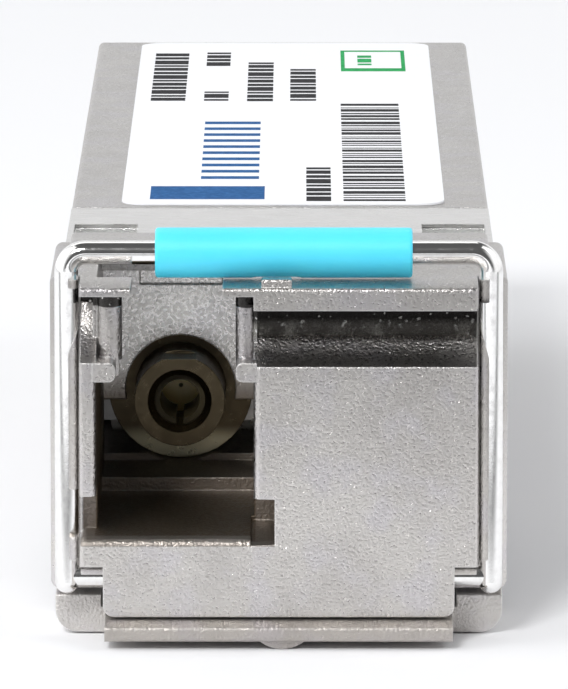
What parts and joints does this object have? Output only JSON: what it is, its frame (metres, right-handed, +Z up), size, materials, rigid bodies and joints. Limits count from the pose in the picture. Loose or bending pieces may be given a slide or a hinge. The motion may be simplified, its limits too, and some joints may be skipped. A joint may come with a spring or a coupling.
{
  "type": "optical transceiver module",
  "caption": "Pluggable single-fibre optical transceiver with an LC port, a die-cast body, a swinging wire bail with grip sleeve and a rocking release lever.",
  "frame": {"origin": "centre plane, in the plane of the stop shoulder that meets the cage, at the underside of the body that enters the cage", "axes": "+X to the right seen from the fibre port, +Y from the port to the card edge, +Z up"},
  "size_m": [0.0142, 0.0571, 0.0127],
  "materials": {
    "cast_nickel": "bright nickel plate over fine-grained zinc die casting",
    "spring_sheet": "nickel-plated spring sheet",
    "wire": "polished bright wire",
    "grip": "soft pale cyan moulding",
    "label": "white film label",
    "barrel": "turned stainless steel",
    "ceramic": "polished zirconia",
    "steel": "plain steel",
    "optics": "machined stainless steel",
    "lens": "clear optical glass",
    "can": "gold-plated header",
    "leads": "gold plate",
    "flex": "amber polyimide film",
    "board": "green solder mask on glass-epoxy laminate",
    "gold": "hard gold plate",
    "chip": "black moulding compound",
    "capacitor": "fired ceramic",
    "inductor": "ferrite",
    "pad": "soft thermal gap filler",
    "gasket": "conductive elastomer"
  },
  "bodies": {
    "module": {"base_housing": "cast_nickel", "top_cover": "cast_nickel", "emi_spring_collar": "spring_sheet", "product_label": "label", "cover_gasket": "gasket", "cover_screws": "steel", "lever_pivot_pin": "steel", "latch_spring": "steel", "receptacle_block": "cast_nickel", "receptacle_barrel": "barrel", "split_sleeve": "ceramic", "fibre_stub": "ceramic", "receptacle_clamp": "steel", "optics_body": "optics", "wavelength_filter": "lens", "ball_lens": "lens", "laser_can": "can", "laser_leads": "leads", "photodiode_can": "can", "photodiode_leads": "leads", "laser_flex": "flex", "photodiode_flex": "flex", "main_board": "board", "contact_pads": "gold", "driver_chip": "chip", "amplifier_chip": "chip", "microcontroller": "chip", "chip_capacitors": "capacitor", "chip_inductors": "inductor", "thermal_pad": "pad"},
    "bail": {"bail_wire": "wire", "bail_grip": "grip"},
    "lever": {"release_lever": "cast_nickel"}
  },
  "joints": [
    {"name": "bail_swing", "type": "hinge", "parent": "module", "child": "bail", "pos_m": [0, -0.0078, -0.0005], "axis": [1, 0, 0], "range_deg": [0, 90]},
    {"name": "lever_rock", "type": "hinge", "parent": "module", "child": "lever", "pos_m": [0, -0.0035, -0.00065], "axis": [1, 0, 0], "range_deg": [0, 5.5], "deforming": ["latch_spring"]}
  ],
  "couplings": [
    {"joint": "lever_rock", "follows": "bail_swing", "ratio": 0.0611}
  ]
}
